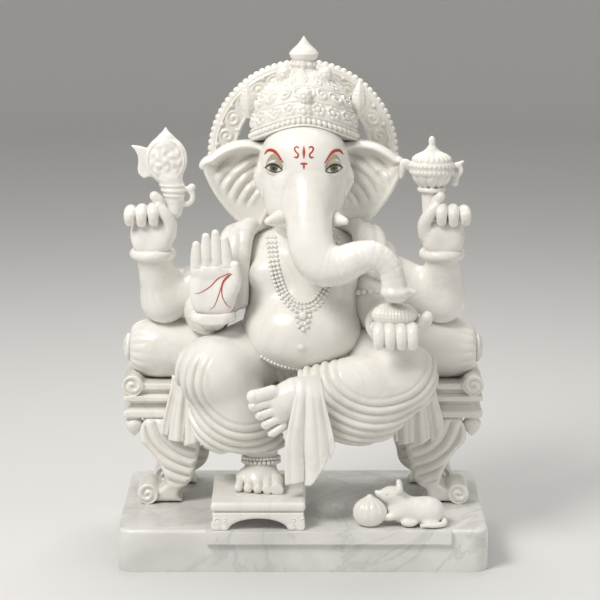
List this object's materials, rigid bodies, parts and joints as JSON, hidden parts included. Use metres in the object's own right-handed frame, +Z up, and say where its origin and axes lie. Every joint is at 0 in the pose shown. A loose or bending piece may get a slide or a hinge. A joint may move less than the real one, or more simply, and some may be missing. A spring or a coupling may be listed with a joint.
{
  "type": "seated ganesha idol",
  "caption": "Seated four-armed elephant-headed figure in carved marble, on a bench with halo, footstool, mouse and rectangular plinth.",
  "frame": {"origin": "centre of the plinth's underside", "axes": "+Z up, -Y the front that the figure faces, +X to the viewer's right, which is the figure's own left"},
  "size_m": [0.432, 0.281, 0.61],
  "materials": {
    "white_marble": "polished",
    "veined_marble": "polished",
    "pin_steel": "satin"
  },
  "bodies": {
    "root": {"plinth": "veined_marble", "front_slab": "veined_marble", "footstool_top": "white_marble", "footstool_frames": "white_marble", "mouse": "white_marble", "mouse_sweet": "white_marble", "bench_seat": "white_marble", "front_right_bench_leg": "white_marble", "front_left_bench_leg": "white_marble", "rear_right_bench_leg": "white_marble", "rear_left_bench_leg": "white_marble", "bench_drops": "white_marble", "right_bolster": "white_marble", "left_bolster": "white_marble", "right_bolster_button": "white_marble", "left_bolster_button": "white_marble", "torso": "white_marble", "head": "white_marble", "trunk": "white_marble", "right_ear": "white_marble", "left_ear": "white_marble", "right_tusk": "white_marble", "left_tusk": "white_marble", "crown": "white_marble", "crown_finial": "white_marble", "crown_buds": "white_marble", "halo": "white_marble", "right_leg": "white_marble", "left_leg": "white_marble", "right_foot": "white_marble", "left_foot": "white_marble", "front_sash": "white_marble", "right_drape": "white_marble", "left_drape": "white_marble", "right_rear_arm": "white_marble", "left_rear_arm": "white_marble", "right_front_arm": "white_marble", "left_front_arm": "white_marble", "right_rear_hand": "white_marble", "left_rear_hand": "white_marble", "right_front_hand": "white_marble", "left_front_hand": "white_marble", "sweets": "white_marble", "axe_emblem": "white_marble", "lotus_emblem": "white_marble", "bangles": "white_marble", "armbands": "white_marble", "shawl": "white_marble", "necklace": "white_marble", "belt": "white_marble", "anklet": "white_marble", "bench_leg_pins": "pin_steel", "bench_seat_pins": "pin_steel", "figure_pins": "pin_steel", "neck_pin": "pin_steel", "halo_pins": "pin_steel", "finial_pin": "pin_steel", "emblem_pins": "pin_steel", "wrist_pins": "pin_steel"}
  },
  "joints": []
}
